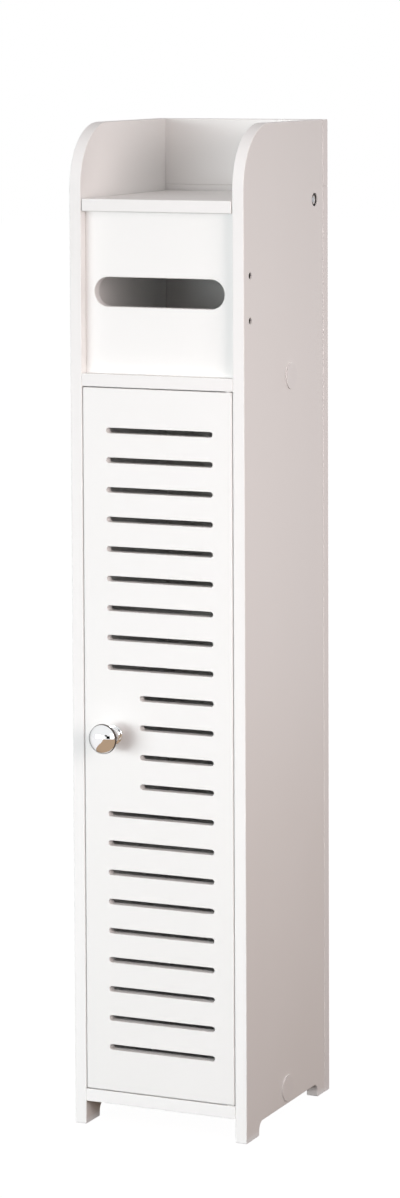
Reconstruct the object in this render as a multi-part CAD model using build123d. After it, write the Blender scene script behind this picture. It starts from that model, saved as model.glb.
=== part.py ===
from build123d import *
import os
from math import asin, cos, sin, sqrt

# Narrow free-standing bathroom cabinet in white moisture-proof board, in millimetres.
# On top is a small tray whose floor is a lift-up lid. Under the lid lies a compartment with a
# slotted front, and under that a tall cupboard behind a louvred door. The door turns on two
# pins at its right edge and is held shut by a magnet.
# X points right, Y to the back and Z up. The origin is on the floor, in the middle of the box
# round the whole cabinet with its knob.

# Outer size, without the knob
WIDTH = 150.0
DEPTH = 170.0
HEIGHT = 800.0

# Boards
BOARD = 10.0                # sides, fixed shelves, lid and back boards
PANEL = 8.0                 # door, slotted front and loose shelves

# Levels
TRAY_DEPTH = 59.0           # from the top edge of the sides down to the lid
COMPARTMENT_HEIGHT = 128.0  # clear height between lid and compartment floor
SHELF_RISE = 19.0           # underside of the bottom shelf above the floor
RAIL_HEIGHT = 54.0          # upper back rail, the lower back board has the rest

# Side panels
CORNER_RADIUS = 50.0        # quarter round at the top front corner
FOOT_WIDTH = 25.0           # front and rear feet, back board included at the rear
FOOT_HEIGHT = 11.0
FOOT_ARCH_RADIUS = 7.0

# Slotted front of the compartment
FRONT_RECESS = 8.0          # behind the front edges of the boards
FEED_SLOT_HEIGHT = 23.2
FEED_SLOT_LEFT_MARGIN = 8.0
FEED_SLOT_RIGHT_MARGIN = 10.1
FEED_SLOT_RISE = 0.5        # above the middle of the front

# Door and its louvre slots
DOOR_GAP = 0.8              # all round the door
LOUVRE_HEIGHT = 4.5
LOUVRE_PITCH = 23.5
LOUVRE_FREE_MARGIN = 20.2   # from the free edge of the door
LOUVRE_HINGE_MARGIN = 16.4  # from the hinge edge of the door
LOUVRE_END_MARGIN = 30.0    # least distance from the top and bottom edges
PATTERN_RISE = 1.0          # pattern above the middle of the door
HINGE_EDGE_LEAST_RADIUS = 0.5   # of the door's edge beside its pivots
SHORT_LOUVRES = 4           # slots in the middle that stop short of the knob

# Knob
KNOB_INSET = 25.7           # from the free edge of the door to the knob's axis
KNOB_RISE = 5.0             # above the middle of the pattern
KNOB_REACH = 27.0
KNOB_HEAD_DIAMETER = 24.0
KNOB_FLANGE_DIAMETER = 15.5
KNOB_FLANGE_THICKNESS = 1.6
KNOB_STEP_DIAMETER = 11.5   # second ring, on the flange
KNOB_STEP_THICKNESS = 1.0
KNOB_NECK_DIAMETER = 9.0
KNOB_RIM_REACH = 19.5       # from the door to the widest ring of the head
KNOB_RIM_BAND = 1.2         # width of that ring
KNOB_FLARE = 0.3            # hollow of the neck: less is more hollow, 0.5 is a straight cone
KNOB_TO_SHORT_LOUVRE = 22.5
KNOB_SCREW_DIAMETER = 4.0
KNOB_SCREW_BITE = 8.0
KNOB_SCREW_HEAD_DIAMETER = 8.0
KNOB_SCREW_HEAD_HEIGHT = 2.4

# Door pivots
DOOR_PIN_DIAMETER = 3.0
DOOR_PIN_COVER = 1.3        # board between a pin and the face of the door
DOOR_PIN_BITE = 14.0        # length inside the door
DOOR_BUSH_DIAMETER = 4.6
DOOR_BUSH_FLANGE = 5.4
DOOR_BUSH_FLOOR = 2.5       # board left behind the bush
RUNNING_GAP = 0.3           # between faces that pass or turn on each other
PIN_TIP_GAP = 0.5
PIN_PLAY = 0.1              # between a pin and its bush, on the radius

# Lid pivots
LID_SIDE_GAP = 0.8
LID_PIVOT_SETBACK = 18.0    # from the back boards to the lid's axis
LID_SWEEP_GAP = 0.8         # between the lid's turning rear corners and the back boards
LID_PIN_DIAMETER = 5.0
LID_PIN_BITE = 15.0
LID_BUSH_DIAMETER = 11.0
LID_BUSH_FLANGE = 13.5
LID_BUSH_SINK = 1.0         # bush and pin end below the outer face of the side

# Loose shelves in the cupboard
INNER_SHELVES = ("lower_inner_shelf", "upper_inner_shelf")
INNER_SHELF_SETBACK = 10.0  # behind the door
INNER_SHELF_PLAY = 1.0      # at the sides and the back
SHELF_PIN_DIAMETER = 5.0
SHELF_PIN_BITE = 7.0
SHELF_PIN_INSET = 25.0      # from the front and rear edges of the loose shelf
SHELF_TAB_LENGTH = 9.0
SHELF_TAB_WIDTH = 8.0
SHELF_TAB_THICKNESS = 2.5

# Magnetic catch under the compartment floor, and its strike plate on the door
CATCH_INSET = 31.0          # from the free edge of the door to the middle of the catch
CATCH_LENGTH = 42.0
CATCH_DEPTH = 13.0
CATCH_HEIGHT = 11.0
CATCH_SCREW_SPACING = 33.0
MAGNET_LENGTH = 20.0
MAGNET_DEPTH = 8.0
MAGNET_HEIGHT = 3.0
POLE_THICKNESS = 1.5
POLE_REACH = 0.8            # how far the pole plates stand out of the housing
STRIKE_LENGTH = 24.0
STRIKE_HEIGHT = 10.0
STRIKE_THICKNESS = 1.2

# Screws, caps and dowels
SMALL_SCREW_DIAMETER = 3.0
SMALL_SCREW_HEAD = 5.5
BACK_SCREW_DIAMETER = 3.5
BACK_SCREW_HEAD = 7.0
SHELF_SCREW_DIAMETER = 5.0
SHELF_SCREW_HEAD = 8.0
CAP_DIAMETER = 21.0
CAP_THICKNESS = 1.0
FRONT_SCREW_DROP = 2.0      # from the middle of the front down to the middle of its screws
FRONT_SCREW_SPREAD = 17.5   # front's screws above and below that
FRONT_SCREW_LENGTH = 25.0
FRONT_SCREW_SINK = 1.0      # depth of the open holes that their heads lie in
SHELF_SCREW_LENGTH = 40.0
BACK_SCREW_LENGTH = 25.0
CATCH_SCREW_BITE = 7.0
STRIKE_SCREW_LENGTH = 7.0
BACK_SCREWS_PER_SIDE = 4
BACK_SCREW_END_DISTANCE = 40.0
RAIL_SCREW_SPREAD = 14.0    # rail's screws above and below its middle
DOWEL_DIAMETER = 6.0
DOWEL_SIDE_BITE = 7.0
DOWEL_SHELF_BITE = 15.0
DOWEL_INSET = 24.0          # from the front and rear edges of a fixed shelf
BOTTOM_SCREW_SETBACK = 81.0     # from the front edge to the bottom shelf's screws
FLOOR_SCREW_SETBACK = 92.0      # and to the compartment floor's screws
RECESS_WIDTH = 0.9          # arms of the cross recess in a screw head
RECESS_SHARE = 0.6          # length of those arms, as a share of the head
RECESS_DEPTH = 0.9

LEFT = -1
RIGHT = 1

# Depth: the knob is part of the box that the origin is centred in
back = (DEPTH + KNOB_REACH) / 2
front = back - DEPTH
rear_face = back - BOARD    # inner face of the back boards, and the rear edge of the sides

# Width
inner = WIDTH / 2 - BOARD   # inner face of a side, from the middle

# Heights
lid_top = HEIGHT - TRAY_DEPTH
lid_under = lid_top - BOARD
floor_top = lid_under - COMPARTMENT_HEIGHT
floor_under = floor_top - BOARD
bottom_top = SHELF_RISE + BOARD
rail_under = HEIGHT - RAIL_HEIGHT
fixed_shelf_levels = (SHELF_RISE, floor_under)

# Slotted front
front_face = front + FRONT_RECESS
front_middle_y = front_face + PANEL / 2
front_middle_z = (floor_top + lid_under) / 2

# Door
door_free_edge = -inner + DOOR_GAP
door_hinge_edge = inner - DOOR_GAP
door_bottom = bottom_top + DOOR_GAP
door_top = floor_under - DOOR_GAP
door_inner_face = front + PANEL
door_axis_x = door_hinge_edge - PANEL / 2
door_axis_y = front + DOOR_PIN_COVER + DOOR_PIN_DIAMETER / 2
pattern_middle = (door_bottom + door_top) / 2 + PATTERN_RISE
knob_x = door_free_edge + KNOB_INSET
knob_z = pattern_middle + KNOB_RISE

# Rounding that takes the door's corner past the side: the corner turns on the axis, and its
# farthest point stays within the clear radius
axis_to_edge = door_hinge_edge - door_axis_x
axis_to_face = door_axis_y - front
clear_radius = axis_to_edge + DOOR_GAP - RUNNING_GAP
hinge_edge_radius = axis_to_edge + axis_to_face - clear_radius
hinge_edge_radius -= sqrt(2 * (clear_radius - axis_to_edge) * (clear_radius - axis_to_face))
hinge_edge_radius = max(HINGE_EDGE_LEAST_RADIUS, hinge_edge_radius)

# Lid
lid_axis_y = rear_face - LID_PIVOT_SETBACK
lid_axis_z = lid_top - BOARD / 2
lid_rear = lid_axis_y + sqrt((LID_PIVOT_SETBACK - LID_SWEEP_GAP) ** 2 - (BOARD / 2) ** 2)
lid_half = inner - LID_SIDE_GAP

# Catch
catch_x = door_free_edge + CATCH_INSET
catch_z = floor_under - CATCH_HEIGHT / 2
strike_face = door_inner_face + STRIKE_THICKNESS
pole_front = strike_face + RUNNING_GAP
catch_front = pole_front + POLE_REACH


def block(x0, x1, y0, y1, z0, z1):
    """A box between two corners."""
    place = Pos((x0 + x1) / 2, (y0 + y1) / 2, (z0 + z1) / 2)
    return place * Box(x1 - x0, y1 - y0, z1 - z0)


def aimed(shape, point, direction):
    """A shape made along +Z from its origin, moved to a point and aimed along a direction."""
    return Plane(origin=point, z_dir=direction).location * shape


def rod(diameter, length, point, direction):
    """A round rod from a point along a direction."""
    straight = Cylinder(diameter / 2, length, align=(Align.CENTER, Align.CENTER, Align.MIN))
    return aimed(straight, point, direction)


def stadium(length, height, thickness, x, y, z):
    """A slot form with full round ends, its length along X, thick along +Y from y."""
    outline = Plane(origin=(x, y, z), x_dir=(1, 0, 0), z_dir=(0, -1, 0)) * SlotOverall(length, height)
    return extrude(outline, -thickness)


def sunk_screw_space(diameter, head, length):
    """The space of a countersunk screw: flat head at the origin, shank along +Z."""
    cone_height = (head - diameter) / 2
    cone = Cone(head / 2, diameter / 2, cone_height, align=(Align.CENTER, Align.CENTER, Align.MIN))
    shank = Cylinder(diameter / 2, length, align=(Align.CENTER, Align.CENTER, Align.MIN))
    return cone + shank


def cross_recess(head):
    """The two crossed cuts in a screw head that faces -Z at the origin."""
    arm = Box(head * RECESS_SHARE, RECESS_WIDTH, 2 * RECESS_DEPTH)
    return arm + Rot(0, 0, 90) * arm


def sunk_screw(diameter, head, length):
    """A countersunk screw with its cross recess."""
    return sunk_screw_space(diameter, head, length) - cross_recess(head)


def placed(shape, places):
    """Copies of a shape at a list of points and directions."""
    return [aimed(shape, point, direction) for point, direction in places]


# Where the fasteners go: the point where the head lies, and the way that they point

def shelf_middles():
    """Middle height of the bottom shelf and of the compartment floor."""
    return [level + BOARD / 2 for level in fixed_shelf_levels]


def shelf_screw_places():
    depths = (front + BOTTOM_SCREW_SETBACK, front + FLOOR_SCREW_SETBACK)
    return [
        ((side * WIDTH / 2, y, z), (-side, 0, 0))
        for side in (LEFT, RIGHT)
        for y, z in zip(depths, shelf_middles())
    ]


def front_screw_places():
    middle = front_middle_z - FRONT_SCREW_DROP
    heights = (middle - FRONT_SCREW_SPREAD, middle + FRONT_SCREW_SPREAD)
    return [
        ((side * (WIDTH / 2 - FRONT_SCREW_SINK), front_middle_y, z), (-side, 0, 0))
        for side in (LEFT, RIGHT)
        for z in heights
    ]


def back_screw_places():
    """Up the rear edge of each side, and one into the rear edge of each fixed shelf."""
    lowest = BACK_SCREW_END_DISTANCE
    step = (rail_under - 2 * lowest) / (BACK_SCREWS_PER_SIDE - 1)
    heights = [lowest + i * step for i in range(BACK_SCREWS_PER_SIDE)]
    x = WIDTH / 2 - BOARD / 2
    places = [((side * x, back, z), (0, -1, 0)) for side in (LEFT, RIGHT) for z in heights]
    return places + [((0, back, z), (0, -1, 0)) for z in shelf_middles()]


def rail_screw_places():
    middle = (rail_under + HEIGHT) / 2
    heights = (middle - RAIL_SCREW_SPREAD, middle + RAIL_SCREW_SPREAD)
    x = WIDTH / 2 - BOARD / 2
    return [((side * x, back, z), (0, -1, 0)) for side in (LEFT, RIGHT) for z in heights]


def dowel_places():
    """Two dowels at each end of each fixed shelf, pointing inwards from inside the side."""
    start = inner + DOWEL_SIDE_BITE
    depths = (front + DOWEL_INSET, rear_face - DOWEL_INSET)
    return [
        ((side * start, y, z), (-side, 0, 0))
        for side in (LEFT, RIGHT)
        for z in shelf_middles()
        for y in depths
    ]


def inner_shelf_levels():
    """Undersides of the loose shelves, which part the cupboard in equal tiers."""
    count = len(INNER_SHELVES)
    clear = (floor_under - bottom_top - count * PANEL) / (count + 1)
    return [bottom_top + clear + i * (clear + PANEL) for i in range(count)]


def inner_shelf_depths():
    """Front and rear edges of a loose shelf."""
    return door_inner_face + INNER_SHELF_SETBACK, rear_face - INNER_SHELF_PLAY


def shelf_pin_places():
    shelf_front, shelf_rear = inner_shelf_depths()
    depths = (shelf_front + SHELF_PIN_INSET, shelf_rear - SHELF_PIN_INSET)
    return [
        (side, y, level) for side in (LEFT, RIGHT) for level in inner_shelf_levels() for y in depths
    ]


# Shapes of the fasteners, used whole for the screws and again for the holes that they fill

shelf_screw_space = sunk_screw_space(SHELF_SCREW_DIAMETER, SHELF_SCREW_HEAD, SHELF_SCREW_LENGTH)
front_screw_space = sunk_screw_space(SMALL_SCREW_DIAMETER, SMALL_SCREW_HEAD, FRONT_SCREW_LENGTH)
back_screw_space = sunk_screw_space(BACK_SCREW_DIAMETER, BACK_SCREW_HEAD, BACK_SCREW_LENGTH)
dowel_form = Cylinder(
    DOWEL_DIAMETER / 2,
    DOWEL_SIDE_BITE + DOWEL_SHELF_BITE,
    align=(Align.CENTER, Align.CENTER, Align.MIN),
)
shelf_screw_spaces = placed(shelf_screw_space, shelf_screw_places())
front_screw_spaces = placed(front_screw_space, front_screw_places())
front_screw_mouths = [
    rod(SMALL_SCREW_HEAD, FRONT_SCREW_SINK, point, tuple(-part for part in direction))
    for point, direction in front_screw_places()
]
back_screw_spaces = placed(back_screw_space, back_screw_places())
rail_screw_spaces = placed(back_screw_space, rail_screw_places())
dowel_spaces = placed(dowel_form, dowel_places())


def shelf_pin_shank(side, y, level):
    """The round shank of a shelf pin, in the side and in the root of its tab."""
    start = (side * (inner + SHELF_PIN_BITE), y, level - SHELF_PIN_DIAMETER / 2)
    return rod(SHELF_PIN_DIAMETER, SHELF_PIN_BITE + SHELF_TAB_LENGTH, start, (-side, 0, 0))


def shelf_pin(side, y, level):
    """A shelf pin: the shank, and the flat tab that the loose shelf lies on."""
    x0, x1 = sorted((side * inner, side * (inner - SHELF_TAB_LENGTH)))
    half = SHELF_TAB_WIDTH / 2
    tab = block(x0, x1, y - half, y + half, level - SHELF_TAB_THICKNESS, level)
    return shelf_pin_shank(side, y, level) + tab


def side_panel(side):
    """A side: one board with a rounded top front corner and two feet."""
    depth = rear_face - front
    face = Pos((front + rear_face) / 2, HEIGHT / 2) * Rectangle(depth, HEIGHT)
    top_corners = face.vertices().group_by(Axis.Y)[-1]
    face = fillet(top_corners.sort_by(Axis.X)[0], CORNER_RADIUS)

    arch_front = front + FOOT_WIDTH
    arch_rear = back - FOOT_WIDTH
    arch = Pos((arch_front + arch_rear) / 2, 0) * Rectangle(arch_rear - arch_front, 2 * FOOT_HEIGHT)
    arch = fillet(arch.vertices().group_by(Axis.Y)[-1], min(FOOT_ARCH_RADIUS, 0.9 * FOOT_HEIGHT))
    face -= arch

    x = min(side * inner, side * WIDTH / 2)
    panel = extrude(Plane.YZ.offset(x) * face, BOARD)
    panel -= shelf_screw_spaces + front_screw_spaces + back_screw_spaces + rail_screw_spaces
    panel -= dowel_spaces + front_screw_mouths
    panel -= [shelf_pin_shank(*place) for place in shelf_pin_places()]
    panel -= rod(LID_BUSH_DIAMETER, BOARD, (side * WIDTH / 2, lid_axis_y, lid_axis_z), (-side, 0, 0))
    return panel


def lower_back_board():
    return block(-WIDTH / 2, WIDTH / 2, rear_face, back, 0, rail_under) - back_screw_spaces


def upper_back_rail():
    return block(-WIDTH / 2, WIDTH / 2, rear_face, back, rail_under, HEIGHT) - rail_screw_spaces


def fixed_shelf(level):
    """A shelf that is screwed and dowelled between the sides."""
    shelf = block(-inner, inner, front, rear_face, level, level + BOARD)
    return shelf - (shelf_screw_spaces + dowel_spaces + back_screw_spaces)


def compartment_floor():
    """The fixed shelf over the cupboard, with the upper door bush and the catch under it."""
    return fixed_shelf(floor_under) - [door_bush_space(RIGHT)] - catch_screw_spaces()


def bottom_shelf():
    """The fixed shelf under the cupboard, which carries the door on its lower bush."""
    return fixed_shelf(SHELF_RISE) - door_bush_space(LEFT)


def dispenser_front():
    """The recessed front of the compartment, with its long round-ended slot."""
    left = -inner + FEED_SLOT_LEFT_MARGIN
    right = inner - FEED_SLOT_RIGHT_MARGIN
    z = front_middle_z + FEED_SLOT_RISE
    panel = block(-inner, inner, front_face, front_face + PANEL, floor_top, lid_under)
    panel -= stadium(right - left, FEED_SLOT_HEIGHT, PANEL, (left + right) / 2, front_face, z)
    return panel - front_screw_spaces


def lid_pin(side):
    """A pivot pin from inside the lid to the outer end of its bush."""
    start = side * (WIDTH / 2 - LID_BUSH_SINK)
    length = BOARD - LID_BUSH_SINK + LID_SIDE_GAP + LID_PIN_BITE
    return rod(LID_PIN_DIAMETER, length, (start, lid_axis_y, lid_axis_z), (-side, 0, 0))


def lid_bush(side):
    """A flanged bush in the side, which the lid's pin turns in."""
    start = (side * (WIDTH / 2 - LID_BUSH_SINK), lid_axis_y, lid_axis_z)
    length = BOARD - LID_BUSH_SINK
    flange_thickness = LID_SIDE_GAP - RUNNING_GAP
    inward = (-side, 0, 0)
    flange_start = (side * inner, lid_axis_y, lid_axis_z)
    bush = rod(LID_BUSH_DIAMETER, length, start, inward)
    bush += rod(LID_BUSH_FLANGE, flange_thickness, flange_start, inward)
    return bush - rod(LID_PIN_DIAMETER + 2 * PIN_PLAY, length + flange_thickness, start, inward)


def flip_lid():
    """The tray's floor, which lifts at the front and turns on two pins near its rear edge."""
    lid = block(-lid_half, lid_half, front, lid_rear, lid_under, lid_top)
    return lid - [lid_pin(LEFT), lid_pin(RIGHT)]


def inner_shelf(level):
    """A loose shelf on four pins."""
    half = inner - INNER_SHELF_PLAY
    shelf_front, shelf_rear = inner_shelf_depths()
    return block(-half, half, shelf_front, shelf_rear, level, level + PANEL)


def door_bush_space(up):
    """The blind hole for a door bush: up is RIGHT for the upper one and LEFT for the lower."""
    mouth = floor_under if up == RIGHT else bottom_top
    return rod(DOOR_BUSH_DIAMETER, BOARD - DOOR_BUSH_FLOOR, (door_axis_x, door_axis_y, mouth), (0, 0, up))


def door_bush(up):
    """A flanged bush in a shelf. The flange keeps the door off the shelf."""
    mouth = floor_under if up == RIGHT else bottom_top
    mouth_point = (door_axis_x, door_axis_y, mouth)
    flange_end = (door_axis_x, door_axis_y, mouth - up * (DOOR_GAP - RUNNING_GAP))
    flange = rod(DOOR_BUSH_FLANGE, DOOR_GAP - RUNNING_GAP, mouth_point, (0, 0, -up))
    bore_length = DOOR_GAP - RUNNING_GAP + door_pin_reach() + PIN_TIP_GAP
    bore = rod(DOOR_PIN_DIAMETER + 2 * PIN_PLAY, bore_length, flange_end, (0, 0, up))
    return door_bush_space(up) + flange - bore


def door_pin_reach():
    """How far a door pin goes into the shelf."""
    return BOARD - DOOR_BUSH_FLOOR - 2 * PIN_TIP_GAP


def door_pin(up):
    """A steel pin in the end of the door, which turns in the bush in the shelf."""
    edge = door_top if up == RIGHT else door_bottom
    length = DOOR_PIN_BITE + DOOR_GAP + door_pin_reach()
    return rod(DOOR_PIN_DIAMETER, length, (door_axis_x, door_axis_y, edge - up * DOOR_PIN_BITE), (0, 0, up))


def louvre_slots():
    """The slots of the door: as many as fit at the pitch, short ones beside the knob."""
    door_height = door_top - door_bottom
    count = int((door_height - 2 * LOUVRE_END_MARGIN) / LOUVRE_PITCH) + 1
    long_start = door_free_edge + LOUVRE_FREE_MARGIN
    short_start = knob_x + KNOB_TO_SHORT_LOUVRE
    end = door_hinge_edge - LOUVRE_HINGE_MARGIN
    slots = []
    for i in range(count):
        steps = i - (count - 1) / 2
        start = short_start if abs(steps) < SHORT_LOUVRES / 2 else long_start
        z = pattern_middle + steps * LOUVRE_PITCH
        slots.append(stadium(end - start, LOUVRE_HEIGHT, PANEL, (start + end) / 2, front, z))
    return slots


def door_panel():
    """The louvred door, its hinge edge rounded as much as it needs to turn past the side."""
    door = block(door_free_edge, door_hinge_edge, front, door_inner_face, door_bottom, door_top)
    door = fillet(door.edges().filter_by(Axis.Z).group_by(Axis.X)[-1], hinge_edge_radius)
    door -= louvre_slots()
    door -= [door_pin(RIGHT), door_pin(LEFT)]
    door -= rod(KNOB_SCREW_DIAMETER, PANEL, (knob_x, front, knob_z), (0, 1, 0))
    return door - strike_screw_space()


def door_knob():
    """A turned mushroom knob with a stepped foot and a blind bore, its axis along -Y."""
    flange = KNOB_FLANGE_DIAMETER / 2
    step = KNOB_STEP_DIAMETER / 2
    neck = KNOB_NECK_DIAMETER / 2
    head = KNOB_HEAD_DIAMETER / 2
    bore = KNOB_SCREW_DIAMETER / 2
    foot = KNOB_FLANGE_THICKNESS
    shoulder = foot + KNOB_STEP_THICKNESS
    waist = (shoulder + KNOB_RIM_REACH) / 2
    flare_low = (neck + (step - neck) * KNOB_FLARE, (shoulder + waist) / 2)
    flare_high = (neck + (head - neck) * KNOB_FLARE, (waist + KNOB_RIM_REACH) / 2)
    cap_start = KNOB_RIM_REACH + KNOB_RIM_BAND
    cap_height = KNOB_REACH - cap_start
    cap_radius = (head ** 2 + cap_height ** 2) / (2 * cap_height)
    half_angle = asin(head / cap_radius) / 2
    cap_centre = KNOB_REACH - cap_radius
    cap_middle = (cap_radius * sin(half_angle), cap_centre + cap_radius * cos(half_angle))
    profile = [
        Line((bore, 0), (flange, 0)),
        Line((flange, 0), (flange, foot)),
        Line((flange, foot), (step, foot)),
        Line((step, foot), (step, shoulder)),
        ThreePointArc((step, shoulder), flare_low, (neck, waist)),
        ThreePointArc((neck, waist), flare_high, (head, KNOB_RIM_REACH)),
        Line((head, KNOB_RIM_REACH), (head, cap_start)),
        ThreePointArc((head, cap_start), cap_middle, (0, KNOB_REACH)),
        Line((0, KNOB_REACH), (0, KNOB_SCREW_BITE)),
        Line((0, KNOB_SCREW_BITE), (bore, KNOB_SCREW_BITE)),
        Line((bore, KNOB_SCREW_BITE), (bore, 0)),
    ]
    turned = revolve(make_face(profile), Axis.Y)
    return Pos(knob_x, front, knob_z) * Rot(0, 0, 180) * turned


def knob_screw():
    """A machine screw through the door from inside, with a round head."""
    seat = (knob_x, door_inner_face, knob_z)
    shank = rod(KNOB_SCREW_DIAMETER, PANEL + KNOB_SCREW_BITE, seat, (0, -1, 0))
    head = rod(KNOB_SCREW_HEAD_DIAMETER, KNOB_SCREW_HEAD_HEIGHT, seat, (0, 1, 0))
    head = fillet(head.edges().sort_by(Axis.Y)[-1], KNOB_SCREW_HEAD_HEIGHT / 2)
    top = (knob_x, door_inner_face + KNOB_SCREW_HEAD_HEIGHT, knob_z)
    return shank + head - aimed(cross_recess(KNOB_SCREW_HEAD_DIAMETER), top, (0, -1, 0))


def catch_screw_spots():
    """The two screws of the catch, from the underside of its housing."""
    y = catch_front + CATCH_DEPTH / 2
    z = floor_under - CATCH_HEIGHT
    half = CATCH_SCREW_SPACING / 2
    return [((catch_x + side * half, y, z), (0, 0, 1)) for side in (LEFT, RIGHT)]


def catch_screw_spaces():
    length = CATCH_HEIGHT + CATCH_SCREW_BITE
    return placed(sunk_screw_space(SMALL_SCREW_DIAMETER, SMALL_SCREW_HEAD, length), catch_screw_spots())


def catch_core(y0, y1, height, z):
    """A flat bar of the magnet's length in the mouth of the catch."""
    half = MAGNET_LENGTH / 2
    return block(catch_x - half, catch_x + half, y0, y1, z - height / 2, z + height / 2)


def pole_plates():
    """The two steel plates that lead the magnet's pull to the strike plate."""
    offset = (MAGNET_HEIGHT + POLE_THICKNESS) / 2
    rear = catch_front + MAGNET_DEPTH
    return [catch_core(pole_front, rear, POLE_THICKNESS, catch_z + up * offset) for up in (1, -1)]


def catch_magnet():
    return catch_core(catch_front, catch_front + MAGNET_DEPTH, MAGNET_HEIGHT, catch_z)


def catch_housing():
    """The moulded body of the catch, with a mouth for the magnet and two screw holes."""
    half = CATCH_LENGTH / 2
    rear = catch_front + CATCH_DEPTH
    low = floor_under - CATCH_HEIGHT
    body = block(catch_x - half, catch_x + half, catch_front, rear, low, floor_under)
    mouth_height = MAGNET_HEIGHT + 2 * POLE_THICKNESS
    mouth = catch_core(catch_front, catch_front + MAGNET_DEPTH, mouth_height, catch_z)
    return body - mouth - catch_screw_spaces()


def strike_screw_space():
    space = sunk_screw_space(SMALL_SCREW_DIAMETER, SMALL_SCREW_HEAD, STRIKE_SCREW_LENGTH)
    return aimed(space, (catch_x, strike_face, catch_z), (0, -1, 0))


def strike_plate():
    """The steel plate on the door that the magnet holds."""
    half = STRIKE_LENGTH / 2
    low = catch_z - STRIKE_HEIGHT / 2
    plate = block(catch_x - half, catch_x + half, door_inner_face, strike_face, low, low + STRIKE_HEIGHT)
    return plate - strike_screw_space()


def strike_screw():
    screw = sunk_screw(SMALL_SCREW_DIAMETER, SMALL_SCREW_HEAD, STRIKE_SCREW_LENGTH)
    return aimed(screw, (catch_x, strike_face, catch_z), (0, -1, 0))


def shelf_screw_caps():
    """Stick-on caps over the heads of the shelf screws."""
    return [
        rod(CAP_DIAMETER, CAP_THICKNESS, point, tuple(-part for part in direction))
        for point, direction in shelf_screw_places()
    ]


shelf_screw = sunk_screw(SHELF_SCREW_DIAMETER, SHELF_SCREW_HEAD, SHELF_SCREW_LENGTH)
front_screw = sunk_screw(SMALL_SCREW_DIAMETER, SMALL_SCREW_HEAD, FRONT_SCREW_LENGTH)
back_screw = sunk_screw(BACK_SCREW_DIAMETER, BACK_SCREW_HEAD, BACK_SCREW_LENGTH)
catch_screw = sunk_screw(SMALL_SCREW_DIAMETER, SMALL_SCREW_HEAD, CATCH_HEIGHT + CATCH_SCREW_BITE)

parts = {
    "left_side_panel": side_panel(LEFT),
    "right_side_panel": side_panel(RIGHT),
    "lower_back_board": lower_back_board(),
    "upper_back_rail": upper_back_rail(),
    "compartment_floor": compartment_floor(),
    "bottom_shelf": bottom_shelf(),
    "dispenser_front": dispenser_front(),
    "shelf_screws": placed(shelf_screw, shelf_screw_places()),
    "shelf_screw_caps": shelf_screw_caps(),
    "shelf_dowels": dowel_spaces,
    "front_screws": placed(front_screw, front_screw_places()),
    "back_board_screws": placed(back_screw, back_screw_places()),
    "back_rail_screws": placed(back_screw, rail_screw_places()),
    "inner_shelf_pins": [shelf_pin(*place) for place in shelf_pin_places()],
    "upper_door_bush": door_bush(RIGHT),
    "lower_door_bush": door_bush(LEFT),
    "lid_bushes": [lid_bush(LEFT), lid_bush(RIGHT)],
    "catch_housing": catch_housing(),
    "catch_magnet": catch_magnet(),
    "catch_pole_plates": pole_plates(),
    "catch_screws": placed(catch_screw, catch_screw_spots()),
    "flip_lid": flip_lid(),
    "lid_pins": [lid_pin(LEFT), lid_pin(RIGHT)],
    "door_panel": door_panel(),
    "door_knob": door_knob(),
    "knob_screw": knob_screw(),
    "upper_door_pin": door_pin(RIGHT),
    "lower_door_pin": door_pin(LEFT),
    "strike_plate": strike_plate(),
    "strike_screw": strike_screw(),
}
for name, level in zip(INNER_SHELVES, inner_shelf_levels()):
    parts[name] = inner_shelf(level)

os.makedirs("parts", exist_ok=True)
for name, shape in parts.items():
    if isinstance(shape, list):
        shape = Compound(children=shape)
    shape.label = name
    export_step(shape, f"parts/{name}.step")

print("nodes", len(parts))
print("louvre slots", len(louvre_slots()))
print("lid axis", round(lid_axis_y, 2), round(lid_axis_z, 2), "rear edge", round(lid_rear, 2))
print("door axis", round(door_axis_x, 2), round(door_axis_y, 2), "from", door_bottom, "to", door_top)
print("knob at", round(knob_x, 2), round(knob_z, 2), "hinge edge radius", round(hinge_edge_radius, 2))
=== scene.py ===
# %% [markdown]
# # A narrow white bathroom cabinet
# This lesson dresses a finished CAD model. The model is a slim cabinet of white foamed plastic board, with a tray and a
# lift-up lid on top, a slotted front under the lid, and a tall louvred door with one chrome knob. Its solids have the
# right size and place already, so nothing here changes a dimension. What is missing is all that the hand and the eye
# know: edges that a router has just broken, skins that shine a little, sawn edges that don't, and real metal.

# %% Load the frame
import math

import bmesh
import bpy
from mathutils import Matrix, Vector


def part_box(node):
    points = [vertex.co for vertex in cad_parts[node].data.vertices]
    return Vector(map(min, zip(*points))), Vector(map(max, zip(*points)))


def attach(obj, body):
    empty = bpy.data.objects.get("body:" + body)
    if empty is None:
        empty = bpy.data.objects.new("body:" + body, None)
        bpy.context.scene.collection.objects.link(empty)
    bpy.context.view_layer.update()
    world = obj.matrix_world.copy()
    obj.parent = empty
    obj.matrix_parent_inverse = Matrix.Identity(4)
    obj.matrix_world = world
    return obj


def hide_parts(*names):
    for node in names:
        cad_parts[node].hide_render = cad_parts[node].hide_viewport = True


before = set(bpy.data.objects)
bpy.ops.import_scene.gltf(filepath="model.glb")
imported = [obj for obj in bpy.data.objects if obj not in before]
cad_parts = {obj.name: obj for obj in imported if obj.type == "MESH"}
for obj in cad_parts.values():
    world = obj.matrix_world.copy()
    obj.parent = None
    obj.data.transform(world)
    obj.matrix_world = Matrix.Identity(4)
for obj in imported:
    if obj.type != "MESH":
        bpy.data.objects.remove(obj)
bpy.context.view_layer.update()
MM = 0.001

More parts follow.
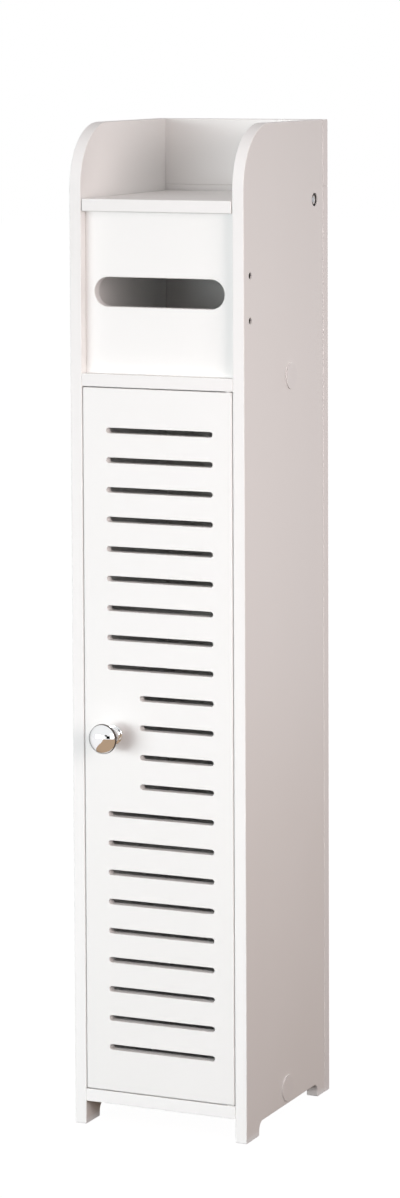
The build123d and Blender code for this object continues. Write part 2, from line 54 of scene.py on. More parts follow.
# %% [markdown]
# ## Colours and nodes
# A designer writes a colour as sRGB hex, as a paint card does, but Blender's shaders mix light, and light adds up in
# linear numbers. One function turns the first into the second. Another adds any node to a material: it sets the
# node's own settings and fills its sockets, with a value or with a link, so that a material reads as a short recipe.
# The Mix node has a set of sockets for each kind of data under the same names, so its colour sockets go by number.

# %% Two helpers for every material
MIX_A, MIX_B, MIX_RESULT = 6, 7, 2


def linear(hex_colour):
    """sRGB hex to linear red, green, blue and alpha."""
    parts = [int(hex_colour[i:i + 2], 16) / 255 for i in (1, 3, 5)]
    return [p / 12.92 if p <= 0.04045 else ((p + 0.055) / 1.055) ** 2.4 for p in parts] + [1.0]


def add(tree, kind, sockets=None, **settings):
    """Add one node, then set its settings and its sockets."""
    node = tree.nodes.new(kind)
    for name, value in settings.items():
        setattr(node, name, value)
    for name, value in (sockets or {}).items():
        if isinstance(value, bpy.types.NodeSocket):
            tree.links.new(value, node.inputs[name])
        else:
            node.inputs[name].default_value = value
    return node


print("linear value of a mid grey:", round(linear("#808080")[0], 3))

# %% [markdown]
# ## Patterns have a size
# A texture node repeats about once per unit when its scale is 1, and the unit here is the metre. So a pattern with
# features a few millimetres across needs a scale of one over that size. The coordinates come from the object, and each
# piece has its origin on the floor in the middle of the cabinet, so a pattern stays put when a door swings.

# %% Helpers for patterns
def features_of(size_mm):
    """Texture scale for features of this size."""
    return 1 / (size_mm * MM)


def start(name, colour, **sockets):
    """A new material with one Principled shader: gives the material, its tree, the shader and the coordinates."""
    material = bpy.data.materials.new(name)
    material.use_nodes = True
    tree = material.node_tree
    tree.nodes.clear()
    values = {"Base Color": linear(colour)}
    values.update({key.replace("_", " "): value for key, value in sockets.items()})
    shader = add(tree, "ShaderNodeBsdfPrincipled", values)
    add(tree, "ShaderNodeOutputMaterial", {"Surface": shader.outputs["BSDF"]})
    place = add(tree, "ShaderNodeTexCoord").outputs["Object"]
    return material, tree, shader, place


print("scale for features of 2 mm:", features_of(2))

# %% [markdown]
# ## Foamed PVC board: the skin
# The panels are foamed PVC board, sold as moisture-proof board. It leaves its extruder between polished plates, which
# give it a closed satin skin. To the eye that is a very even, neutral white with soft, wide highlights. At a shallow
# angle the highlight breaks up a little, because the skin has the faint waviness known as orange peel. Its real cells
# are near half a millimetre. They are drawn at two here, so that they still show in a small picture.

# %% Board skin
SKIN_LIGHT = "#F6F5F4"
SKIN_DARK = "#F1F0EE"
PEEL_MM = 2.0
CLOUD_MM = 160.0


def board_skin():
    material, tree, shader, place = start("foamed_pvc_skin", SKIN_LIGHT, IOR=1.53)
    cloud = add(tree, "ShaderNodeTexNoise", {"Vector": place, "Scale": features_of(CLOUD_MM), "Detail": 2.0})
    cloud = cloud.outputs["Fac"]
    tones = {"Factor": cloud, MIX_A: linear(SKIN_DARK), MIX_B: linear(SKIN_LIGHT)}
    tone = add(tree, "ShaderNodeMix", tones, data_type="RGBA")
    tree.links.new(tone.outputs[MIX_RESULT], shader.inputs["Base Color"])
    gloss = add(tree, "ShaderNodeMapRange", {"Value": cloud, "To Min": 0.38, "To Max": 0.5})
    tree.links.new(gloss.outputs["Result"], shader.inputs["Roughness"])
    peel = add(tree, "ShaderNodeTexNoise", {"Vector": place, "Scale": features_of(PEEL_MM), "Detail": 1.0})
    height = {"Height": peel.outputs["Fac"], "Strength": 0.25, "Distance": 0.04 * MM}
    bump = add(tree, "ShaderNodeBump", height)
    tree.links.new(bump.outputs["Normal"], shader.inputs["Normal"])
    return material


skin = board_skin()
print("made", skin.name)

# %% [markdown]
# ## Foamed PVC board: a milled edge
# Where the board is sawn or milled the skin is gone and the foamed core shows. It is a touch whiter and quite matt,
# with fine cutter marks across the thickness of the board and a pinhole here and there where a gas cell was cut open.
# The marks are a noise that is stretched along the thickness, so each thickness direction has its own material.
# Real cutter marks are about 0.8 mm apart, and pinholes 0.3 mm across. Both are drawn at about twice that.

# %% Milled edges
CORE_WHITE = "#F8F7F6"
CUTTER_MARK_MM = 1.6
PINHOLE_MM = 1.2
STRETCH = 12.0


def milled_edge(name, thickness_axis):
    material, tree, shader, place = start(name, CORE_WHITE, IOR=1.5, Roughness=0.6)
    squeeze = [1.0, 1.0, 1.0]
    squeeze[thickness_axis] = 1 / STRETCH
    along = add(tree, "ShaderNodeMapping", {"Vector": place, "Scale": squeeze})
    marks = {"Vector": along.outputs["Vector"], "Scale": features_of(CUTTER_MARK_MM), "Detail": 2.0}
    marks = add(tree, "ShaderNodeTexNoise", marks).outputs["Fac"]
    cells = add(tree, "ShaderNodeTexVoronoi", {"Vector": place, "Scale": features_of(PINHOLE_MM)})
    cells = cells.outputs["Distance"]
    hole = {"Value": cells, "From Min": 0.05, "From Max": 0.16, "To Min": 0.0, "To Max": 1.0}
    hole = add(tree, "ShaderNodeMapRange", hole).outputs["Result"]
    relief = add(tree, "ShaderNodeMath", {0: marks, 1: hole}, operation="MULTIPLY").outputs["Value"]
    bump = add(tree, "ShaderNodeBump", {"Height": relief, "Strength": 0.4, "Distance": 0.08 * MM})
    tree.links.new(bump.outputs["Normal"], shader.inputs["Normal"])
    matt = add(tree, "ShaderNodeMapRange", {"Value": marks, "To Min": 0.5, "To Max": 0.72})
    tree.links.new(matt.outputs["Result"], shader.inputs["Roughness"])
    return material


edges = [milled_edge(f"foamed_pvc_milled_{axis}", i) for i, axis in enumerate("xyz")]
print("made", ", ".join(m.name for m in edges))

# %% [markdown]
# ## Moulded plastic
# The pivots, shelf pins, catch housing and screw caps are small white mouldings. The mould is spark-eroded, which
# leaves a fine even grain, so the plastic looks soft and slightly translucent beside the board. The grain is 0.1 mm
# in life and 0.5 mm here.

# %% Moulded white plastic
NYLON_WHITE = "#F2F2F0"
SPARK_GRAIN_MM = 0.5


def moulded_plastic(name, colour, roughness):
    material, tree, shader, place = start(name, colour, IOR=1.53, Roughness=roughness)
    grain = add(tree, "ShaderNodeTexNoise", {"Vector": place, "Scale": features_of(SPARK_GRAIN_MM), "Detail": 0.0})
    grain = grain.outputs["Fac"]
    bump = add(tree, "ShaderNodeBump", {"Height": grain, "Strength": 0.3, "Distance": 0.02 * MM})
    tree.links.new(bump.outputs["Normal"], shader.inputs["Normal"])
    spread = {"Value": grain, "To Min": roughness - 0.06, "To Max": roughness + 0.06}
    spread = add(tree, "ShaderNodeMapRange", spread)
    tree.links.new(spread.outputs["Result"], shader.inputs["Roughness"])
    return material


nylon = moulded_plastic("moulded_nylon", NYLON_WHITE, 0.36)
cap_film = moulded_plastic("screw_cap_film", "#F1F0EF", 0.42)
print("made", nylon.name, "and", cap_film.name)

# %% [markdown]
# ## Chrome and zinc
# The knob is a zinc casting, polished, then plated with nickel and a very thin layer of chromium. It is a mirror with
# a barely cool tint, and its only texture is a slow waviness from the polishing wheel. The screws, pins and plates are
# steel with a bright zinc coat: greyer, with a soft gloss that changes from crystal to crystal.

# %% Two plated metals
CHROME = "#F1F2F3"
# Almost black edge tint: it darkens the chrome's reflection at grazing angles round the rim, a painted dark reflection
# that draws the outline.
CHROME_EDGE_DARKENING = "#0C0A08"
ZINC = "#B9BCC0"
POLISH_WAVE_MM = 5.0
ZINC_CRYSTAL_MM = 1.2


def bright_chrome():
    material, tree, shader, place = start("bright_chrome", CHROME, Metallic=1.0, Roughness=0.04)
    # The near-black edge tint is painted dark reflection: it darkens the chrome at grazing angles to draw the knob's
    # outline.
    shader.inputs["Specular Tint"].default_value = linear(CHROME_EDGE_DARKENING)
    wave = add(tree, "ShaderNodeTexNoise", {"Vector": place, "Scale": features_of(POLISH_WAVE_MM), "Detail": 1.0})
    wave = wave.outputs["Fac"]
    bump = add(tree, "ShaderNodeBump", {"Height": wave, "Strength": 0.1, "Distance": 0.05 * MM})
    tree.links.new(bump.outputs["Normal"], shader.inputs["Normal"])
    haze = add(tree, "ShaderNodeMapRange", {"Value": wave, "To Min": 0.02, "To Max": 0.07})
    tree.links.new(haze.outputs["Result"], shader.inputs["Roughness"])
    return material


def bright_zinc():
    material, tree, shader, place = start("zinc_plated_steel", ZINC, Metallic=1.0, Roughness=0.34)
    crystals = add(tree, "ShaderNodeTexVoronoi", {"Vector": place, "Scale": features_of(ZINC_CRYSTAL_MM)})
    crystals = crystals.outputs["Color"]
    gloss = add(tree, "ShaderNodeMapRange", {"Value": crystals, "To Min": 0.26, "To Max": 0.42})
    tree.links.new(gloss.outputs["Result"], shader.inputs["Roughness"])
    return material


chrome = bright_chrome()
zinc = bright_zinc()
print("made", chrome.name, "and", zinc.name)

# %% [markdown]
# ## Three dark materials, with painted reflection and painted shade
# The head of the knob is a pressed cap on a cast body. A band of dark metal round its rim is painted reflection: it
# stands in for the dark that chrome reflects at a grazing angle, and draws the head's outline. The short screws of the
# slotted front are phosphated: steel with a dry, grey-black crystal coat that hardly shines. Their black is also
# painted shade, for the shadow in their sunk holes. A black nitrile ring, moulded and slightly bloomed, sits at the
# outer end of each lid pivot. Its black is painted shade: a dark part put where the recess round the pivot is only
# in shadow.

# %% Painted rim reflection, phosphated screws and painted-shade rings
# Dark metal for the rim of the knob's head: painted reflection that draws its outline.
KNOB_RIM_PAINTED_REFLECTION = "#5A5350"
# Near black for the short front screws: their phosphated coat, and painted shade too, for the shadow in their sunk
# holes.
PHOSPHATE_AND_HOLE_SHADE = "#1B1A1A"
PHOSPHATE_CRYSTAL_MM = 0.6
# Black for the rings at the lid's pivots: painted shade in the recess round each pivot.
PIVOT_RING_SHADE_BLACK = "#0E0D0D"
RUBBER_BLOOM_MM = 1.5


# Dark metal for the faces round the rim of the knob's head: painted reflection, the dark that chrome shows at a grazing
# angle.
def painted_rim_reflection():
    material, tree, shader, place = start("chrome_rim_painted_reflection", KNOB_RIM_PAINTED_REFLECTION, Metallic=1.0, Roughness=0.3)
    grain = add(tree, "ShaderNodeTexNoise", {"Vector": place, "Scale": features_of(PHOSPHATE_CRYSTAL_MM)})
    gloss = add(tree, "ShaderNodeMapRange", {"Value": grain.outputs["Fac"], "To Min": 0.22, "To Max": 0.4})
    tree.links.new(gloss.outputs["Result"], shader.inputs["Roughness"])
    return material


# The front screws' near black is their phosphated coat and also painted shade: it stands in for the shadow in their
# sunk holes.
def black_phosphate_and_hole_shade():
    material, tree, shader, place = start("phosphated_steel_and_hole_shade", PHOSPHATE_AND_HOLE_SHADE, IOR=1.6, Roughness=0.6)
    crystal = {"Vector": place, "Scale": features_of(PHOSPHATE_CRYSTAL_MM), "Detail": 1.0}
    crystal = add(tree, "ShaderNodeTexNoise", crystal).outputs["Fac"]
    bump = add(tree, "ShaderNodeBump", {"Height": crystal, "Strength": 0.4, "Distance": 0.04 * MM})
    tree.links.new(bump.outputs["Normal"], shader.inputs["Normal"])
    return material


# The black nitrile of the rings is painted shade: it stands in for the shadow in the recess round each lid pivot.
def black_ring_painted_shade():
    material, tree, shader, place = start("black_ring_painted_shade", PIVOT_RING_SHADE_BLACK, IOR=1.52, Roughness=0.7)
    bloom = add(tree, "ShaderNodeTexNoise", {"Vector": place, "Scale": features_of(RUBBER_BLOOM_MM)})
    dull = add(tree, "ShaderNodeMapRange", {"Value": bloom.outputs["Fac"], "To Min": 0.6, "To Max": 0.85})
    tree.links.new(dull.outputs["Result"], shader.inputs["Roughness"])
    return material


rim_reflection_paint = painted_rim_reflection()
phosphate_and_hole_shade = black_phosphate_and_hole_shade()
pivot_ring_shade = black_ring_painted_shade()
print("made", rim_reflection_paint.name, phosphate_and_hole_shade.name, "and", pivot_ring_shade.name)

# %% [markdown]
# ## Hidden materials
# The catch has a pressed ferrite magnet, dark grey and grainy as unglazed clay. The dowels are beech: pale, close
# grained, with short dark flecks along the grain. They hardly ever show, but they get their finish too.

# %% Ferrite and beech
FERRITE = "#45454A"
BEECH_LIGHT = "#E0C29B"
BEECH_DARK = "#C79F70"
FERRITE_GRAIN_MM = 0.4
BEECH_FLECK_MM = 0.7


def pressed_ferrite():
    material, tree, shader, place = start("pressed_ferrite", FERRITE, IOR=1.9, Roughness=0.7)
    grain = add(tree, "ShaderNodeTexNoise", {"Vector": place, "Scale": features_of(FERRITE_GRAIN_MM), "Detail": 3.0})
    bump = {"Height": grain.outputs["Fac"], "Strength": 0.6, "Distance": 0.05 * MM}
    bump = add(tree, "ShaderNodeBump", bump)
    tree.links.new(bump.outputs["Normal"], shader.inputs["Normal"])
    return material


def beech():
    material, tree, shader, place = start("beech_dowel", BEECH_LIGHT, IOR=1.5, Roughness=0.6)
    along = add(tree, "ShaderNodeMapping", {"Vector": place, "Scale": (1 / STRETCH, 1.0, 1.0)})
    fleck = {"Vector": along.outputs["Vector"], "Scale": features_of(BEECH_FLECK_MM), "Detail": 2.0}
    fleck = add(tree, "ShaderNodeTexNoise", fleck).outputs["Fac"]
    tones = {"Factor": fleck, MIX_A: linear(BEECH_DARK), MIX_B: linear(BEECH_LIGHT)}
    tone = add(tree, "ShaderNodeMix", tones, data_type="RGBA")
    tree.links.new(tone.outputs[MIX_RESULT], shader.inputs["Base Color"])
    return material


ferrite = pressed_ferrite()
dowel_beech = beech()
print("made", ferrite.name, "and", dowel_beech.name)

# %% [markdown]
# ## Breaking the edges of a board
# On the bench, each board would be sawn, then run past a small round-over cutter or a sanding block, because no real
# edge is a perfect corner. It could be drawn again from a rectangle, but the CAD mesh already has every hole in its
# place, so the board is made from a copy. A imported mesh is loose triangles. The copy is merged first, and its flat
# faces are joined again, which leaves real edges to bevel. The corners of the board and the mouths of its slots are
# different sets of connected sharp edges, so each can have its own radius.

# %% Helpers for edges
SHARP = math.radians(40)
FLAT = math.radians(0.5)


def merged_copy(node):
    """A clean copy of a CAD node's mesh to work on."""
    work = bmesh.new()
    work.from_mesh(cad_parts[node].data)
    bmesh.ops.remove_doubles(work, verts=work.verts, dist=0.001 * MM)
    bmesh.ops.dissolve_limit(work, angle_limit=FLAT, verts=work.verts, edges=work.edges)
    return work


def sharp_edges(work):
    return [e for e in work.edges if len(e.link_faces) == 2 and e.calc_face_angle() > SHARP]


def edge_sets(work):
    """Sharp edges in connected sets, the one that spans most first."""
    left = set(sharp_edges(work))
    sets = []
    while left:
        todo = [left.pop()]
        found = list(todo)
        while todo:
            for vertex in todo.pop().verts:
                near = left.intersection(vertex.link_edges)
                left -= near
                todo.extend(near)
                found.extend(near)
        sets.append(found)
    return sorted(sets, key=lambda found: (-span(found), centre(found)))


def reach(found):
    """Lowest and highest corner of a set of edges."""
    points = [v.co for e in found for v in e.verts]
    return [Vector(pick(p[i] for p in points) for i in range(3)) for pick in (min, max)]


def span(found):
    low, high = reach(found)
    return round(max(high - low), 6)


def centre(found):
    low, high = reach(found)
    return tuple(round(x, 5) for x in (low + high) / 2)


def round_over(work, found, radius_mm, segments):
    """A round-over along these edges, narrow enough to leave the box of the board as it is."""
    bmesh.ops.bevel(
        work, geom=found, offset=radius_mm * MM, offset_type="OFFSET", affect="EDGES",
        segments=segments, profile=0.5, material=-1, clamp_overlap=False,
    )


trial = merged_copy("door_panel")
print("door panel: faces", len(trial.faces), "sets of sharp edges", len(edge_sets(trial)))
trial.free()

# %% [markdown]
# ## From work mesh to piece
# A finished piece becomes an object at the origin. Its shading has to be flat on the faces and round on the edges.
# Smooth shading alone would smear the light over the big faces, so a Weighted Normal modifier lets the largest face at
# each corner decide, and edges that are still sharp, deep in a hole, are marked so that they stay crisp.

# %% Make a piece
def make_piece(work, name, body, node, materials):
    """Turn a work mesh into an object that stands for its CAD node and moves with its body."""
    for face in work.faces:
        face.smooth = True
    for edge in sharp_edges(work):
        edge.smooth = False
    mesh = bpy.data.meshes.new(name)
    work.to_mesh(mesh)
    work.free()
    for material in materials:
        mesh.materials.append(material)
    piece = bpy.data.objects.new(name, mesh)
    bpy.context.scene.collection.objects.link(piece)
    even = piece.modifiers.new("even_shading", "WEIGHTED_NORMAL")
    even.keep_sharp = True
    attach(piece, body)
    if node:
        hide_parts(node)
    return piece


# %% [markdown]
# ## The boards
# Every board gets the same treatment with its own numbers: the direction of its thickness, the radius of its outer
# edges, and the radius at the mouths of its slots. The faces across the thickness keep the skin, and all the others
# are milled. The two fixed shelves get a smaller radius, because a pivot hole comes close to their front edge.

# %% Boards with broken edges
def board(node, name, body, thickness_axis, radius_mm, mouth_mm):
    work = merged_copy(node)
    outline, *mouths = edge_sets(work)
    round_over(work, outline, radius_mm, 3)
    if mouth_mm:
        slots = [e for found in mouths if span(found) > 20 * MM for e in found]
        round_over(work, slots, mouth_mm, 3)
    for face in work.faces:
        face.material_index = 0 if abs(face.normal[thickness_axis]) > 0.95 else 1
    faces = len(work.faces)
    piece = make_piece(work, name, body, node, [skin, edges[thickness_axis]])
    print(f"{name}: {faces} faces, {len(mouths)} holes and slots")
    return piece


BOARDS = [
    ("left_side_panel", "left_side_board", "cabinet", 0, 0.9, 0),
    ("right_side_panel", "right_side_board", "cabinet", 0, 0.9, 0),
    ("lower_back_board", "lower_back_sheet", "cabinet", 1, 0.6, 0),
    ("upper_back_rail", "upper_back_strip", "cabinet", 1, 0.6, 0),
    ("compartment_floor", "compartment_floor_board", "cabinet", 2, 0.4, 0),
    ("bottom_shelf", "bottom_shelf_board", "cabinet", 2, 0.4, 0),
    ("dispenser_front", "slotted_front_board", "cabinet", 1, 0.3, 0.8),
    ("lower_inner_shelf", "lower_loose_shelf", "cabinet", 2, 0.8, 0),
    ("upper_inner_shelf", "upper_loose_shelf", "cabinet", 2, 0.8, 0),
    ("flip_lid", "lid_board", "lid", 2, 0.8, 0),
    ("door_panel", "louvred_door", "door", 1, 0.8, 0.12),
]
boards = {row[1]: board(*row) for row in BOARDS}

# %% [markdown]
# ## The chrome knob
# A knob like this is cast, turned and polished, so every part of it is round about one axis. In Blender the same is a
# lathe: a few points give half of the outline, and spin sweeps them round. The outline has a foot with two rings, a
# hollow neck and a mushroom head. A Subdivision Surface modifier softens the rings and gives the head the unbroken
# curve that a mirror finish needs.

# %% Turn the knob
KNOB_STEPS = 48
# Faces of the head beyond this radius and this distance from the door take the dark metal: painted reflection for the
# outline.
PAINTED_RIM_FROM_RADIUS = 11.2
PAINTED_RIM_FROM_REACH = 19.0
# radius and distance from the door, in mm
KNOB_OUTLINE = [
    (2.0, 0.0), (7.4, 0.0), (7.75, 0.4), (7.75, 1.2), (7.4, 1.6), (6.0, 1.7), (5.75, 2.0), (5.7, 2.4), (5.2, 2.8),
    (4.7, 4.2), (4.5, 8.0), (4.6, 12.0), (5.4, 15.2), (7.8, 17.7), (10.8, 18.9), (11.8, 19.6), (12.0, 20.4),
    (11.6, 21.8), (9.6, 24.1), (6.4, 26.0), (3.2, 26.85), (0.0, 27.0),
]


def turned_knob():
    low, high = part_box("door_knob")
    axis_x, axis_z, door = (low.x + high.x) / 2, (low.z + high.z) / 2, high.y
    work = bmesh.new()
    points = [
        work.verts.new((axis_x + radius * MM, door - distance * MM, axis_z)) for radius, distance in KNOB_OUTLINE
    ]
    outline = [work.edges.new(pair) for pair in zip(points, points[1:])]
    bmesh.ops.spin(
        work, geom=points + outline, cent=(axis_x, door, axis_z), axis=(0, 1, 0), angle=math.tau,
        steps=KNOB_STEPS, use_merge=True,
    )
    bmesh.ops.remove_doubles(work, verts=work.verts, dist=0.001 * MM)
    foot = [e for e in work.edges if len(e.link_faces) == 1]
    bmesh.ops.holes_fill(work, edges=foot, sides=0)
    bmesh.ops.recalc_face_normals(work, faces=work.faces)
    for face in work.faces:
        middle = face.calc_center_median()
        radius = math.hypot(middle.x - axis_x, middle.z - axis_z)
        # The rim faces get the painted dark reflection.
        in_painted_rim = radius > PAINTED_RIM_FROM_RADIUS * MM and door - middle.y > PAINTED_RIM_FROM_REACH * MM
        face.material_index = 1 if in_painted_rim else 0
    piece = make_piece(work, "chrome_knob", "door", "door_knob", [chrome, rim_reflection_paint])
    smooth = piece.modifiers.new("polished_curve", "SUBSURF")
    smooth.levels = smooth.render_levels = 2
    piece.modifiers.remove(piece.modifiers["even_shading"])
    return piece


knob = turned_knob()
print("knob faces before smoothing:", len(knob.data.polygons))

# %% [markdown]
# ## Small fittings
# Pins, bushes, the catch and the caps are mouldings and turned parts. Their edges are rounded by the mould or by
# tumbling, a tenth or two of a millimetre, just enough to catch a line of light. The same merged copy does it.

# %% Fittings with soft edges
def fitting(node, name, body, slot, material, radius_mm):
    work = merged_copy(node)
    round_over(work, sharp_edges(work), radius_mm, 2)
    faces = len(work.faces)
    piece = make_piece(work, name, body, node, [material])
    print(f"{name}: {faces} faces")
    return piece


FITTINGS = [
    ("shelf_screw_caps", "screw_caps", "cabinet", "white_plastic", cap_film, 0.15),
    ("lid_bushes", "lid_pivot_bushes", "cabinet", "white_plastic", nylon, 0.2),
    ("upper_door_bush", "upper_pivot_bush", "cabinet", "white_plastic", nylon, 0.15),
    ("lower_door_bush", "lower_pivot_bush", "cabinet", "white_plastic", nylon, 0.15),
    ("catch_magnet", "magnet_bar", "cabinet", "magnet", ferrite, 0.2),
    ("catch_pole_plates", "pole_pieces", "cabinet", "zinc_steel", zinc, 0.15),
    ("strike_plate", "strike", "door", "zinc_steel", zinc, 0.2),
    ("lid_pins", "lid_pivot_pins", "lid", "zinc_steel", zinc, 0.3),
    ("upper_door_pin", "upper_pivot_pin", "door", "zinc_steel", zinc, 0.3),
    ("lower_door_pin", "lower_pivot_pin", "door", "zinc_steel", zinc, 0.3),
]
fittings = [fitting(*row) for row in FITTINGS]

# %% [markdown]
# ## Painted-shade rings at the lid's pivots
# Each bush of the lid ends a little below the outer face of the side. A black nitrile ring lies on it there, round the
# pin. Its black is painted shade, put where that recess would be in shadow. A ring is again a lathe shape: a circle,
# pressed flat, is the section, and spin carries it round the pin.

# %% Rings of painted shade
RING_RADIUS_MM = 4.4
RING_HALF_WIDTH_MM = 0.95
RING_HALF_HEIGHT_MM = 0.3


# The rings are black: painted shade where the bush sits below the face of the side.
def pivot_shade_rings():
    low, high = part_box("lid_bushes")
    axis = (low + high) / 2
    work = bmesh.new()
    for side in (-1, 1):
        section = bmesh.ops.create_circle(work, segments=12, radius=RING_HALF_WIDTH_MM * MM)["verts"]
        bmesh.ops.scale(work, vec=(RING_HALF_HEIGHT_MM / RING_HALF_WIDTH_MM, 1, 1), verts=section)
        place = Vector((side * (high.x + RING_HALF_HEIGHT_MM * MM), axis.y + RING_RADIUS_MM * MM, axis.z))
        bmesh.ops.translate(work, vec=place, verts=section)
        loop = {edge for vertex in section for edge in vertex.link_edges}
        bmesh.ops.spin(
            work, geom=section + list(loop), cent=axis, axis=(1, 0, 0), angle=math.tau, steps=40, use_merge=True,
        )
    bmesh.ops.remove_doubles(work, verts=work.verts, dist=0.001 * MM)
    bmesh.ops.recalc_face_normals(work, faces=work.faces)
    return make_piece(work, "lid_pivot_shade_rings", "cabinet", None, [pivot_ring_shade])


rings = pivot_shade_rings()
print("ring faces:", len(rings.data.polygons))

# %% [markdown]
# ## What stays as it is
# The screws, dowels, shelf pins and the housing of the catch have the right shape already. They only get their
# finish, by assigning it to the material slots of the CAD objects.

# %% Finish the remaining CAD nodes
# The front screws are near black: their phosphated coat, and painted shade for the shadow in their sunk holes.
FINISHES = {
    "shelf_screws": zinc, "front_screws": phosphate_and_hole_shade, "back_board_screws": zinc, "back_rail_screws": zinc,
    "catch_screws": zinc, "knob_screw": zinc, "strike_screw": zinc, "shelf_dowels": dowel_beech,
    "inner_shelf_pins": nylon, "catch_housing": nylon,
}
for name, finish in FINISHES.items():
    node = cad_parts[name]
    if not node.material_slots:
        node.data.materials.append(finish)
    for slot in node.material_slots:
        slot.material = finish
plain_nodes = [name for name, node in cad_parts.items() if not node.hide_render]
print("CAD nodes that show:", len(plain_nodes), "without a finish:", sorted(set(plain_nodes) - set(FINISHES)))

# %% [markdown]
# ## The room
# The cabinet stands on a pale floor in an evenly lit white studio. The floor takes real light and shadow, but what the
# camera, a mirror or glass sees of it is lifted to white by a little glow, and so is the sky round it. That keeps the
# background white without more light on the cabinet, which would bleach its soft greys.

# %% Floor and sky
FLOOR_TONE = "#4E4747"
FLOOR_GLOW = 0.98
SKY_LEVEL = 0.43


def rays_that_see(tree):
    """1 for rays from the camera, from a mirror and through glass, and 0 for scattered light."""
    path = add(tree, "ShaderNodeLightPath").outputs
    mirror = {0: path["Is Glossy Ray"], 1: path["Is Transmission Ray"]}
    mirror = add(tree, "ShaderNodeMath", mirror, operation="MAXIMUM")
    both = {0: path["Is Camera Ray"], 1: mirror.outputs["Value"]}
    return add(tree, "ShaderNodeMath", both, operation="MAXIMUM").outputs["Value"]


def pale_floor():
    work = bmesh.new()
    bmesh.ops.create_circle(work, cap_ends=True, radius=14.0, segments=96)
    mesh = bpy.data.meshes.new("studio_floor")
    work.to_mesh(mesh)
    work.free()
    floor = bpy.data.objects.new("studio_floor", mesh)
    bpy.context.scene.collection.objects.link(floor)
    material = bpy.data.materials.new("matt_floor")
    material.use_nodes = True
    tree = material.node_tree
    tree.nodes.clear()
    seen = rays_that_see(tree)
    base = add(tree, "ShaderNodeBsdfDiffuse", {"Color": linear(FLOOR_TONE)})
    glow = add(tree, "ShaderNodeEmission", {"Color": (1, 1, 1, 1), "Strength": FLOOR_GLOW})
    lifted = add(tree, "ShaderNodeAddShader", {0: base.outputs["BSDF"], 1: glow.outputs["Emission"]})
    mix = {"Fac": seen, 1: base.outputs["BSDF"], 2: lifted.outputs["Shader"]}
    mix = add(tree, "ShaderNodeMixShader", mix)
    add(tree, "ShaderNodeOutputMaterial", {"Surface": mix.outputs["Shader"]})
    mesh.materials.append(material)
    return floor


def white_sky():
    world = bpy.data.worlds.new("white_studio")
    world.use_nodes = True
    tree = world.node_tree
    tree.nodes.clear()
    soft = add(tree, "ShaderNodeBackground", {"Color": linear("#FFF6F5"), "Strength": SKY_LEVEL})
    white = add(tree, "ShaderNodeBackground", {"Color": (1, 1, 1, 1), "Strength": 1.0})
    mix = {"Fac": rays_that_see(tree), 1: soft.outputs["Background"], 2: white.outputs["Background"]}
    mix = add(tree, "ShaderNodeMixShader", mix)
    add(tree, "ShaderNodeOutputWorld", {"Surface": mix.outputs["Shader"]})
    bpy.context.scene.world = world
    return world


floor = pale_floor()
sky = white_sky()
print("floor and sky ready")

# %% [markdown]
# ## Light
# A wide softbox stands at the front left, so the fronts are the brightest faces and the right side falls into a soft
# shade. Three small, weak ones have a grid over them, which keeps their light together: one at the right lifts the side,
# one low in front lifts the foot of the door, and one far behind gives the back an even grey. The sky fills the rest.

# %% Softboxes
def softbox(name, place, target, size, power, colour, spread=180):
    light = bpy.data.lights.new(name, "AREA")
    light.shape = "RECTANGLE"
    light.size, light.size_y = size
    light.energy = power
    light.color = linear(colour)[:3]
    light.spread = math.radians(spread)
    lamp = bpy.data.objects.new(name, light)
    bpy.context.scene.collection.objects.link(lamp)
    lamp.location = place
    lamp.rotation_euler = (Vector(target) - Vector(place)).to_track_quat("-Z", "Y").to_euler()
    lamp.visible_camera = False
    return lamp


key = softbox("key_softbox", (-2.0, -4.4, 0.78), (0, 0, 0.4), (4.0, 1.2), 133.0, "#F2FAFC")
fill = softbox("fill_softbox", (1.25, -0.75, 0.75), (0.07, 0, 0.5), (0.8, 0.8), 2.5, "#FFF3F0", 78)
low = softbox("low_softbox", (-0.5, -1.7, 0.3), (0, -0.07, 0.0), (0.6, 0.2), 0.42, "#F2FAFC", 50)
low.visible_glossy = False
rear = softbox("rear_softbox", (-0.3, 3.4, 0.6), (0, 0, 0.4), (1.6, 1.0), 7.0, "#FFFFFF", 60)
rear.visible_glossy = False
print("key light at", [round(x, 2) for x in key.location])

# %% [markdown]
# ## What the chrome sees
# Chrome has no colour of its own: it shows the room. In an all-white room the knob would vanish, so photographers put
# cards round a shiny thing. Here a brown one lies on the ground in front, and dark ones stand where a camera stand, a
# lamp and the end of a wall would be. Only mirrors see them, so they give no light and no shadow.

# %% Cards for the chrome
# place, size and facing of each card, and its colour
CARDS = [
    ("warm_ground_card", (1.83, -1.72, 0.004), (4.34, 6.44), (0, 0, 1), "#BBA086"),
    ("dark_stand_card", (1.34, -2.7, 0.74), (1.15, 0.85), (-0.4, 0.9, 0.1), "#050505"),
    ("dark_lamp_card", (0.66, -2.9, 1.2), (0.8, 0.45), (-0.4, 0.9, 0.1), "#101010"),
    ("dark_wall_card", (3.9, -0.8, 1.5), (0.5, 3.0), (-1, 0.1, 0), "#141210"),
]


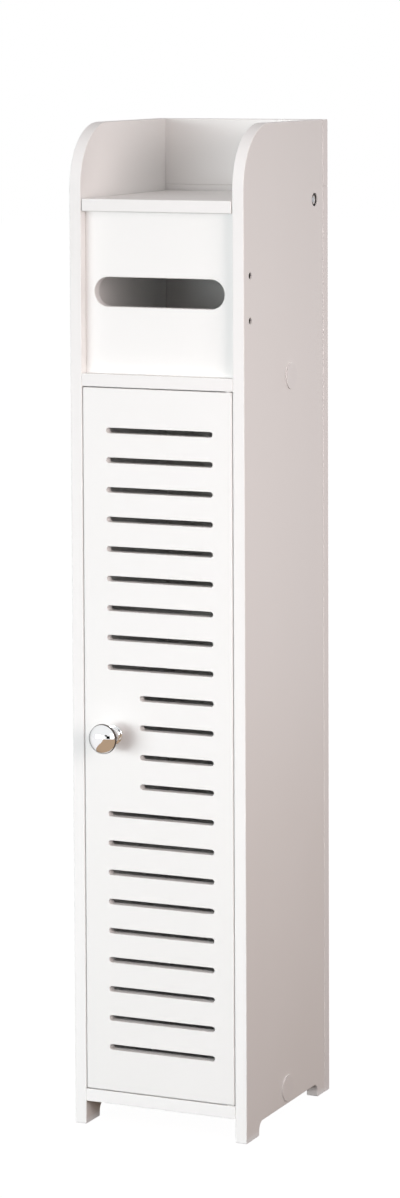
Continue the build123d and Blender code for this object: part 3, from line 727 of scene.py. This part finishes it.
def reflected_card(name, place, size, facing, colour):
    """A flat glowing card that only mirrors see."""
    work = bmesh.new()
    bmesh.ops.create_grid(work, x_segments=1, y_segments=1, size=0.5)
    turn = Vector(facing).to_track_quat("Z", "Y").to_matrix().to_4x4()
    bmesh.ops.scale(work, vec=(size[0], size[1], 1), verts=work.verts)
    bmesh.ops.transform(work, matrix=Matrix.Translation(place) @ turn, verts=work.verts)
    mesh = bpy.data.meshes.new(name)
    work.to_mesh(mesh)
    work.free()
    card = bpy.data.objects.new(name, mesh)
    bpy.context.scene.collection.objects.link(card)
    material = bpy.data.materials.new(name)
    material.use_nodes = True
    tree = material.node_tree
    tree.nodes.clear()
    glow = add(tree, "ShaderNodeEmission", {"Color": linear(colour), "Strength": 1.0})
    add(tree, "ShaderNodeOutputMaterial", {"Surface": glow.outputs["Emission"]})
    mesh.materials.append(material)
    card.visible_camera = card.visible_diffuse = card.visible_shadow = card.visible_transmission = False
    return card


cards = [reflected_card(*row) for row in CARDS]
print("cards:", ", ".join(card.name for card in cards))

# %% [markdown]
# ## Camera
# The view is from the front right, a little above the middle, with a long lens from three metres, so the uprights stay
# nearly parallel. The angles were fitted to the edges of the cabinet in its picture.

# %% Camera
CAMERA_PLACE = (1.2447, -2.7372, 0.8763)
AZIMUTH, ELEVATION, LEAN = math.radians(24.360), math.radians(4.148), math.radians(-0.248)
LENS = 113.58
LENS_SHIFT = -0.25


def picture_camera():
    data = bpy.data.cameras.new("camera")
    data.lens = LENS
    data.shift_y = LENS_SHIFT
    data.clip_end = 100
    camera = bpy.data.objects.new("camera", data)
    bpy.context.scene.collection.objects.link(camera)
    flat = math.cos(ELEVATION)
    back = Vector((math.sin(AZIMUTH) * flat, -math.cos(AZIMUTH) * flat, math.sin(ELEVATION)))
    right = (-back).cross(Vector((0, 0, 1))).normalized()
    up = right.cross(-back)
    turned = Matrix((
        right * math.cos(LEAN) + up * math.sin(LEAN),
        up * math.cos(LEAN) - right * math.sin(LEAN),
        back,
    )).transposed()
    camera.matrix_world = Matrix.Translation(CAMERA_PLACE) @ turned.to_4x4()
    bpy.context.scene.camera = camera
    return camera


camera = picture_camera()
bpy.context.scene.view_settings.view_transform = "Standard"
print("camera at", [round(x, 3) for x in camera.location])
